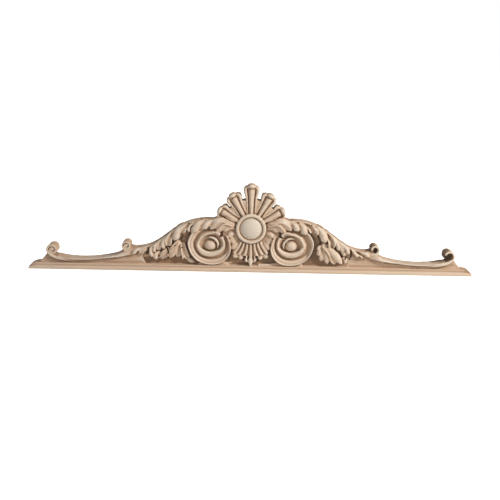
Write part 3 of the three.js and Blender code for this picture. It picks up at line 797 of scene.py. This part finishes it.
# %% Volutes
OUTER_FLOOR = (
    # outer rim x, height, inner rim x, height
    (70, 103, 71, 90), (84, 104, 79, 90), (97, 104, 88, 88), (112, 99, 100, 85), (126, 91, 109, 80),
    (135, 79, 115, 72), (140, 65, 119, 63), (138, 52, 118, 54), (133, 40, 114, 46), (123, 28, 107, 39),
    (107, 19, 98, 36.5), (89, 16, 89, 36), (69, 19, 79, 38.5), (54, 30, 69, 45), (47, 45, 62, 54),
    (47, 60, 60, 63), (50, 72, 62, 73), (54, 82, 67, 81),
)
INNER_RIM = (
    # x, height
    (66, 82), (74, 87.5), (86, 88), (99, 86), (110, 79), (118, 66), (118, 54), (108, 40), (89, 36.5),
    (74, 41), (63, 52), (60, 62), (62, 73), (68, 82),
)
SWELL = (
    # x, height, crest, half width
    (118, 63, 34.5, 1.5), (110.5, 47, 34.8, 4.0), (91, 39.5, 35.2, 5.6), (70.5, 46, 34.8, 4.2),
    (61.5, 61, 34.5, 1.5),
)
# x, height, crest, half width of the crescent between the inner floor and the ball
CRESCENT = ((99, 75, 33, 1.0), (90, 77.5, 34, 2.0), (79.5, 73, 34.5, 2.8), (73.5, 63, 34, 2.6),
            (75.5, 50, 31.5, 1.0))
# the shoulder lies at this share of the way from rim to rim, along these marks
SHOULDER = 0.27
SHOULDER_RUN = {1: slice(8, 18), -1: slice(2, 15)}
BALL = (90.5, 59.0)
BALL_SIZE = (13.2, 14)
BALL_FOOT = 21
# the inner floor ends at this share of the way from the ball's middle to its rim
INNER_SHARE = 0.12
# a hollowed leaf's rims stand at this share of its half width
RIM_SHARE = 0.84


def floor_between(rims, crest):
    """Rows for a hollowed leaf whose two rims run through the marks."""
    rows = []
    for outer_x, outer_y, inner_x, inner_y in rims:
        gap = math.hypot(outer_x - inner_x, outer_y - inner_y)
        middle = (outer_x + inner_x) / 2, (outer_y + inner_y) / 2
        rows.append((*middle, crest, gap / 2 / RIM_SHARE))
    return rows


def volute(side):
    turned(side * 91, 60.5, [(0, 0), (40, 0), (40, 20), (37, 22), (0, 22)], stretch=1.13)
    leaf(floor_between(OUTER_FLOOR, 35), side=side, rise=10, hollow=1.0, tip=0.03, spring=0.02,
         foot=4, stations=120, across=27)
    shoulder = []
    for outer_x, outer_y, inner_x, inner_y in OUTER_FLOOR[SHOULDER_RUN[side]]:
        gap = math.hypot(outer_x - inner_x, outer_y - inner_y)
        shoulder.append((outer_x + SHOULDER * (inner_x - outer_x),
                         outer_y + SHOULDER * (inner_y - outer_y), 33.0, 0.32 * gap))
    leaf(shoulder, side=side, rise=8, tip=0.3, spring=0.3, foot=4, stations=120, across=17)
    leaf(SWELL, side=side, rise=7, tip=0.2, spring=0.2, foot=8, stations=60, across=17)
    inner = [(x, y, BALL[0] + INNER_SHARE * (x - BALL[0]), BALL[1] + INNER_SHARE * (y - BALL[1]))
             for x, y in INNER_RIM]
    leaf(floor_between(inner, 34.5), side=side, rise=10.5, hollow=1.0, tip=0.04, spring=0.03,
         foot=4, stations=120, across=27)
    leaf(CRESCENT, side=side, rise=5, tip=0.3, spring=0.3, foot=8, stations=40)
    radius = BALL_SIZE[0]
    ball = [(0, 8), (radius, 8), (radius, BALL_FOOT - 1)]
    ball += arc((0, BALL_FOOT), BALL_SIZE, math.pi / 2)[1:]
    turned(side * BALL[0], BALL[1], ball, stretch=1.1)


for side in (1, -1):
    volute(side)
print("volutes", len(blanks), "forms so far")

# %% [markdown]
# ## Leaves
# The S-curve is clothed in a long leaf. Its lobes hang from the edge like gadroons, narrow above and
# full below, with some of them hollowed like a spoon. Each is one row: three marks along its middle,
# its half width and how hollow it is. A carver cuts the two sides by eye, and here they differ, as in
# the photograph, so each side has a table of its own.

# %% Lobes of the long leaf
LEAF_CREST = 36.5
LOBES = {
    # springs at x, bends at, ends at, half width, hollow
    1: (
        (86, (98, 108), (104, 94), 9.0, 0.0), (103, (116, 104), (121, 86), 10.0, 0.0),
        (121, (134, 103), (139, 90), 8.5, 0.8), (135, (147, 98), (149, 86), 4.5, 0.0),
        (143, (159, 92), (166, 69), 10.5, 0.0), (163, (180, 75), (182, 55), 9.5, 0.8),
        (178, (194, 67), (198, 51), 6.0, 0.0), (188, (204, 61), (208, 46), 6.0, 0.3),
        (199, (215, 57), (220, 43), 6.0, 0.0), (224, (234, 47), (241, 37), 5.0, 0.0),
        (233, (247, 45), (256, 36), 6.5, 0.8), (246, (259, 45), (266, 37), 5.0, 0.0),
    ),
    -1: (
        (82, (97, 109), (107, 95), 9.0, 0.0), (101, (118, 106), (129, 86), 11.0, 0.0),
        (124, (138, 101), (139, 88), 4.5, 0.0), (133, (150, 97), (154, 84), 8.5, 0.6),
        (145, (163, 91), (170, 68), 10.0, 0.0), (165, (183, 74), (185, 54), 9.0, 0.6),
        (181, (197, 65), (196, 48), 6.8, 0.0), (192, (206, 60), (207, 44), 6.2, 0.4),
        (202, (216, 55), (217, 40), 5.8, 0.0), (212, (225, 47), (222, 29), 5.8, 0.0),
        (227, (241, 46), (248, 34), 6.4, 0.5), (242, (257, 45), (265, 34), 6.2, 0.0),
    ),
}


def long_leaf(side):
    bed = [(x, y - 14, 25, 12) for x, y in hump_line(12)]
    leaf(bed, side=side, rise=3, tip=0.05, foot=4, stations=60)
    for spring, bend, end, half, hollow in LOBES[side]:
        top = min(HUMP_TOP, hump_height(max(spring, CROWN))) - 4.0
        crest = LEAF_CREST + (1.0 if half > 8 else -0.5)
        leaf([(spring + 2, top, 31.0, 0.5 * half), (*bend, crest, 0.85 * half),
              (end[0], end[1] + 0.4 * half, crest, half), (*end, crest - 1.5, 0.95 * half)],
             side=side, rise=10, hollow=hollow, tip=0.3, foot=5, across=21)


for side in (1, -1):
    long_leaf(side)
print("long leaves", sum(len(rows) for rows in LOBES.values()), "lobes")

# %% Leaves beside the ring and under the long leaf
# each row: x, height, crest and half width at three marks, then how hollow it is
OVER_LEAF = (
    ((35, 98, 29, 5), (50, 101, 33, 8), (63, 92, 33.5, 8), 0.0),
    ((35, 105, 31, 6), (60, 108, 35.5, 10), (78, 89, 35.5, 8.5), 0.0),
    ((37, 110, 31, 6), (70, 113, 36.5, 9.5), (92, 96, 36, 9), 0.0),
    ((38, 114, 31, 6), (66, 118, 33.5, 6), (94, 108, 34, 6.5), 0.0),
    ((36, 112, 30, 6), (44, 116, 32, 7), (54, 117, 31, 5), 0.0),
)
VEINS = (
    ((40, 104, 36, 1.2), (60, 109, 38.5, 1.6), (77, 93, 38, 1.2)),
    ((42, 110, 36, 1.3), (70, 114, 38.5, 1.6), (91, 100, 38, 1.2)),
)
INNER_LEAF = (
    ((33, 86, 28, 5), (44, 85, 32, 7.5), (51, 76, 32.5, 6.5), 0.0),
    ((31, 78, 28, 5), (40, 72, 32, 8), (47, 64, 32.5, 6.5), 0.3),
    ((30, 68, 28, 5), (35, 60, 31.5, 8), (43, 50, 32, 6.5), 0.0),
)
LOW_LEAF = {
    1: (
        ((160, 68, 30, 6), (184, 46, 35, 10), (208, 19, 32, 7.5), 0.0),
        ((160, 66, 30, 6), (180, 40, 34, 8.5), (192, 18, 32, 7), 0.4),
        ((159, 65, 29, 5), (170, 40, 33.5, 7.5), (174, 19, 32, 7), 0.0),
        ((158, 64, 28, 5), (162, 42, 33, 7), (159, 25, 32, 6.5), 0.3),
        ((157, 62, 28, 4), (155, 50, 32, 5.5), (152, 38, 31.5, 5.5), 0.0),
        ((157, 62, 28, 3), (153, 57, 31, 4), (151, 51, 31, 4), 0.0),
        ((200, 56, 28, 4), (210, 47, 33, 6), (212, 37, 32, 5.5), 0.0),
        ((208, 36, 28, 5), (214, 29, 30, 5), (213, 20, 29, 5), 0.0),
    ),
    -1: (
        ((160, 68, 30, 6), (174, 47, 34, 9), (183, 27, 32.5, 9), 0.3),
        ((158, 64, 28, 5), (161, 46, 33, 7), (165, 29, 31.5, 7.5), 0.5),
        ((154, 64, 28, 5), (149, 43, 31.5, 7.5), (141, 24, 31, 7.5), 0.5),
        ((182, 50, 28, 5), (194, 38, 32.5, 8), (203, 24, 31, 7.5), 0.3),
        ((204, 42, 28, 5), (214, 34, 32.5, 7), (212, 22, 31, 6.5), 0.0),
        ((146, 30, 26, 4), (137, 23, 29, 6), (126, 17, 29, 4), 0.0),
    ),
}
LOW_VEINS = {
    1: (((160, 63, 34, 1.2), (174, 46, 36.5, 1.5), (184, 24, 34.5, 1.0)),),
    -1: (((161, 62, 34, 1.2), (178, 46, 36, 1.5), (192, 26, 34.5, 1.2)),
         ((157, 58, 33, 1.2), (155, 44, 34.5, 1.5), (152, 24, 33, 1.2)),
         ((186, 44, 32, 1.2), (198, 36, 34, 1.4), (208, 26, 33, 1.2))),
}


def clump(rows, side, rise):
    for *points, hollow in rows:
        leaf(points, side=side, rise=rise, hollow=hollow, tip=0.3, foot=5, across=17)


for side in (1, -1):
    clump(OVER_LEAF, side, 7)
    clump(INNER_LEAF, side, 7)
    clump(LOW_LEAF[side], side, 8)
    for vein in VEINS + LOW_VEINS[side]:
        leaf(vein, side=side, rise=3, tip=0.4, foot=20)
print("leaves beside the ring", 2 * (len(OVER_LEAF) + len(INNER_LEAF)))

# %% [markdown]
# ## Drill and gouge
# Deep shadows in the photograph are holes: a carver drills them before modelling the leaf round
# them. They are cut from the skin with boolean cutters after everything else has been fused.

# %% Cutters
DRILLED_TO = 19
CUT_FROM = 44
HOLES = {
    # x, height, radius
    1: ((135, 109, 2.0), (172, 60, 2.0), (155, 66, 2.0), (80, 87, 1.2), (54, 119, 1.6)),
    -1: ((139, 108, 2.0), (170, 57, 2.0), (155, 52, 2.0), (219, 52, 1.8), (217, 40, 1.8),
         (80, 87, 1.2)),
}
SLOTS = {
    # three marks along it, half width
    1: (((150, 86), (155, 75), (158, 66), 2.6), ((225, 53), (227, 44), (226, 35), 2.2),
        ((213, 40), (214, 36), (213, 30), 1.8)),
    -1: (((152, 80), (155, 74), (159, 66), 2.4), ((231, 51), (230, 42), (236, 34), 2.4),
         ((130, 105), (135, 98), (134, 90), 1.2), ((190, 54), (186, 44), (182, 36), 1.6)),
}
for side in (1, -1):
    for x, y, radius in HOLES[side]:
        profile = [(0, DRILLED_TO), (radius * 0.7, DRILLED_TO), (radius, 41), (0, 42)]
        turned(side * x, y, profile, 16, to=cutters)
    for *marks, half in SLOTS[side]:
        leaf([(*mark, CUT_FROM, half) for mark in marks], to=cutters, side=side, rise=1, tip=0.2,
             foot=DRILLED_TO)
print(len(cutters), "cutters")

# %% [markdown]
# ## One skin
# The forms overlap freely. A voxel remesh melts them into one closed surface, the cutters are taken
# away, a light smoothing stands for sandpaper, and a decimation keeps the mesh under a set number of
# triangles by thinning the flat back and the plinth first. The finished mesh still has a few dozen
# doubled faces and open edges, too small to see. Then the crest is stood up.

# %% Fuse, drill, sand, thin
VOXEL = 0.85
SAND_FACTOR = 0.5
SAND_PASSES = 2
TRIANGLES = 190000


def evaluated(thing):
    """The mesh that an object's modifiers make."""
    graph = bpy.context.evaluated_depsgraph_get()
    return bpy.data.meshes.new_from_object(thing.evaluated_get(graph))


def fused():
    block = joined(blanks, "block")
    drills = joined(cutters, "drills")
    skin = block.modifiers.new("skin", "REMESH")
    skin.mode = "VOXEL"
    skin.voxel_size = VOXEL
    drill = block.modifiers.new("drill", "BOOLEAN")
    drill.operation = "DIFFERENCE"
    drill.solver = "MANIFOLD"
    drill.object = drills
    sand = block.modifiers.new("sand", "SMOOTH")
    sand.factor = SAND_FACTOR
    sand.iterations = SAND_PASSES
    mesh = evaluated(block)
    block.modifiers.clear()
    block.data = mesh
    mesh.calc_loop_triangles()
    many = len(mesh.loop_triangles)
    thin = block.modifiers.new("thin", "DECIMATE")
    thin.ratio = TRIANGLES / many
    mesh = evaluated(block)
    bpy.data.objects.remove(block)
    bpy.data.objects.remove(drills)
    print("skin", many, "triangles, thinned to", len(mesh.polygons), "faces")
    return mesh


skin_mesh = fused()

# %% [markdown]
# The remesh rounds the flat back and the underside a little, so both are pressed flat again, and the
# whole is kept inside the block that it was cut from. Standing it up turns the bench's y into height
# and its z into a distance in front of the back.

# %% Stand it up
PRESSED = 0.7


def stand_up(mesh):
    spots = np.empty(3 * len(mesh.vertices))
    mesh.vertices.foreach_get("co", spots)
    spots = spots.reshape(-1, 3)
    spots[:, 0] = np.clip(spots[:, 0], -LENGTH / 2, LENGTH / 2)
    for axis, size in ((1, HEIGHT), (2, DEPTH)):
        along = spots[:, axis]
        spots[:, axis] = np.where(along < PRESSED, 0.0, np.minimum(along, size))
    placed = np.column_stack([spots[:, 0] * MM, cad_high.y - spots[:, 2] * MM, spots[:, 1] * MM])
    mesh.vertices.foreach_set("co", placed.ravel())
    mesh.update()
    return spots


bench_spots = stand_up(skin_mesh)
print("standing", len(bench_spots), "corners")

# %% [markdown]
# ## Painted shade: how deep is each point?
# This value compares a point with the front of the crest around it. The front is sampled on a
# grid of 1 mm, blurred at two widths, and a point that lies below that blurred front gets a high
# value, which the wood shows as painted shade; a point above it gets a painted highlight. The edges
# and the back of the board, which lie behind other wood but are not cuts, are put back to a plain
# tone. The plinth gets painted shade that dims its lit face, and inside the two scrolls on the right
# and where the rail runs out into the outer one a painted shadow of the curl is set. The value is
# stored on the mesh, so that the material can read it anywhere.

# %% Recess attribute
MARGIN = 20
# blur in mm, weight, depth in mm that counts as one
RECESS_SCALES = ((3, 0.8, 4.5), (9, 0.13, 10.0))
RECESS_BASE = 0.27
EDGE_RECESS = 0.2
EDGE_STARTS = 1.5
EDGE_FADES = 2.0
OUTSIDE_SHARE = 0.3
# painted shade that dims the plinth's face, which is turned to the key light
PLINTH_PAINTED_SHADE = 0.16
# painted shadow inside the two scrolls on the right, and on the rail's top where the outer curl shades
# it
SCROLL_PAINTED_SHADOW = 0.85
RAIL_PAINTED_SHADOW = 0.8
RAIL_EDGE = 1.2
BEHIND_STRIP = STRIP_FRONT - 3.5


def blurred(field, radius):
    kernel = np.exp(-0.5 * (np.arange(-3 * radius, 3 * radius + 1) / radius) ** 2)
    kernel /= kernel.sum()
    for axis in (0, 1):
        field = np.apply_along_axis(lambda row: np.convolve(row, kernel, "same"), axis, field)
    return field


def painted_shade(mesh, spots):
    along, height, depth = spots.T
    across, up = int(LENGTH) + 2 * MARGIN, int(HEIGHT) + 2 * MARGIN
    column = np.clip((along + LENGTH / 2 + MARGIN).astype(int), 0, across - 1)
    row = np.clip((height + MARGIN).astype(int), 0, up - 1)
    front = np.zeros((across, up))
    np.maximum.at(front, (column, row), depth)
    for _ in range(3):
        around = [np.roll(front, step, axis) for axis in (0, 1) for step in (-1, 1)]
        front = np.where(front == 0, np.max(around, axis=0), front)
    solid = (front > 0).astype(float)
    value = np.zeros(len(spots))
    # painted shade where a point lies below the blurred front, painted highlight where it stands above
    for radius, weight, full in RECESS_SCALES:
        level = blurred(front, radius) / np.maximum(blurred(solid, radius), 0.05)
        value += weight * (level[column, row] - depth) / full
    hidden = np.clip((front[column, row] - depth - EDGE_STARTS) / EDGE_FADES, 0, 1)
    outside = np.clip((1 - blurred(solid, 9)[column, row]) / OUTSIDE_SHARE, 0, 1)
    hidden *= np.maximum(outside, height < PLINTH_TOP + 2)
    value = np.clip(RECESS_BASE + value, 0, 1) * (1 - hidden) + EDGE_RECESS * hidden
    # painted shade on the plinth, which faces the key light
    value += PLINTH_PAINTED_SHADE * (height < PLINTH_TOP)
    # painted shadow inside the two scrolls on the right, whose inner faces turn away from the key
    # light
    for x, y, radius in (INNER_SCROLL, OUTER_SCROLL):
        away = np.hypot(along - x, height - y)
        curled = (away < radius - 0.5) | ((away < radius + 3) & (along < x + 0.1 * radius))
        value[curled & (depth < BEHIND_STRIP)] = SCROLL_PAINTED_SHADOW
    # painted shadow that the outer curl casts on the top of the rail
    rail_x, rail_y = rail_line()[-8:].T
    on_rail = (along > rail_x[0]) & (along < rail_x[-1])
    on_rail &= height > np.interp(along, rail_x, rail_y) - RAIL_EDGE
    value[on_rail & (depth < BEHIND_STRIP)] = RAIL_PAINTED_SHADOW
    ends = np.empty(2 * len(mesh.edges), int)
    mesh.edges.foreach_get("vertices", ends)
    a, b = ends.reshape(-1, 2).T
    count = np.bincount(ends, minlength=len(spots)) + 1
    for _ in range(2):
        total = np.bincount(a, value[b], len(spots)) + np.bincount(b, value[a], len(spots))
        value = (value + total) / count
    mesh.attributes.new("painted_shade", "FLOAT", "POINT").data.foreach_set("value", value)
    return value


painted_shade_values = painted_shade(skin_mesh, bench_spots)
print("recess from", round(float(painted_shade_values.min()), 2), "to", round(float(painted_shade_values.max()), 2))

# %% The finished crest
crest = new_object("carved_crest", skin_mesh)
skin_mesh.materials.clear()
skin_mesh.materials.append(wood)
skin_mesh.shade_smooth()
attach(crest, "root")
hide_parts("carved_applique")
print(crest.name, len(skin_mesh.polygons), "faces")

# %% [markdown]
# ## Floor, light and camera
# The photograph is a cut-out on white. A pale matt floor under soft light gives the same calm
# surround. The key light comes from the right and above, hard enough for the scrolls to cast a
# shadow, and a wide fill from the front keeps the shadows brown and not black.

# %% Floor
FLOOR_HALF = 14.0
FLOOR_DROP = 0.0005


def camera_glow(tree, elsewhere, seen):
    """A strength that is one number where the camera looks straight at it and another elsewhere."""
    path = add(tree, "ShaderNodeLightPath")
    return ranged(tree, path.outputs["Is Camera Ray"], (0.0, 1.0), (elsewhere, seen))


def pale_floor():
    material = bpy.data.materials.new("plaster_painted_matt")
    material.use_nodes = True
    tree = material.node_tree
    shader = tree.nodes["Principled BSDF"]
    shader.inputs["Base Color"].default_value = linear("#F4F3F1")
    shader.inputs["Roughness"].default_value = 0.9
    shader.inputs["Emission Color"].default_value = linear("#FFFFFF")
    tree.links.new(camera_glow(tree, 0.0, 0.85), shader.inputs["Emission Strength"])
    mesh = bpy.data.meshes.new("floor")
    corners = [(FLOOR_HALF * x, FLOOR_HALF * y, 0) for x, y in ((-1, -1), (1, -1), (1, 1), (-1, 1))]
    mesh.from_pydata(corners, [], [(0, 1, 2, 3)])
    mesh.materials.append(material)
    floor = new_object("floor", mesh)
    floor.location.z = -FLOOR_DROP


pale_floor()
print("floor laid")

# %% Light
LIT_SPOT = Vector((0, 0, 0.06))


def area_light(name, spot, size, power, colour):
    data = bpy.data.lights.new(name, "AREA")
    data.size, data.energy, data.color = size, power, linear(colour)[:3]
    light = new_object(name, data)
    light.location = spot
    light.rotation_euler = (LIT_SPOT - Vector(spot)).to_track_quat("-Z", "Y").to_euler()


area_light("key", (2.1, -1.25, 1.7), 0.3, 72, "#FFFAF4")
area_light("fill", (-0.9, -2.2, 1.0), 1.6, 5, "#F2F5FF")
world = bpy.data.worlds.new("studio")
world.use_nodes = True
sky = world.node_tree
sky.links.new(camera_glow(sky, 0.3, 1.0), sky.nodes["Background"].inputs["Strength"])
sky.nodes["Background"].inputs["Color"].default_value = linear("#FFFFFF")
bpy.context.scene.world = world
bpy.context.scene.view_settings.view_transform = "Standard"
print("two lights and a white surround")

# %% [markdown]
# The camera stands 1.9 m away and 14 degrees up, rolled a touch, as in the photograph. Its place is
# worked out from one known point: the middle of the plinth's lower front edge, which the photograph
# shows at pixel 250.2, 272.5, with 2.25 mm to a pixel there.

# %% Camera
IMAGE = 500
ELEVATION = math.radians(14)
ROLL = math.radians(1.05)
DISTANCE = 1.9
PIXEL = 2.2507 * MM
PLINTH_PIXEL = (250.2, 272.5)


def camera():
    data = bpy.data.cameras.new("camera")
    data.sensor_width = 36
    data.lens = data.sensor_width * DISTANCE / (PIXEL * IMAGE)
    ahead = Vector((0, math.cos(ELEVATION), -math.sin(ELEVATION)))
    right, up = Vector((1, 0, 0)), Vector((0, math.sin(ELEVATION), math.cos(ELEVATION)))
    right, up = (right * math.cos(ROLL) + up * math.sin(ROLL),
                 up * math.cos(ROLL) - right * math.sin(ROLL))
    aim = Vector((0, cad_low.y, 0))
    aim += right * (IMAGE / 2 - PLINTH_PIXEL[0]) * PIXEL
    aim += up * (PLINTH_PIXEL[1] - IMAGE / 2) * PIXEL
    thing = new_object("camera", data)
    place = Matrix((right, up, -ahead)).transposed().to_4x4()
    place.translation = aim - ahead * DISTANCE
    thing.matrix_world = place
    bpy.context.scene.camera = thing
    return data.lens


print("lens", round(camera(), 1), "mm")
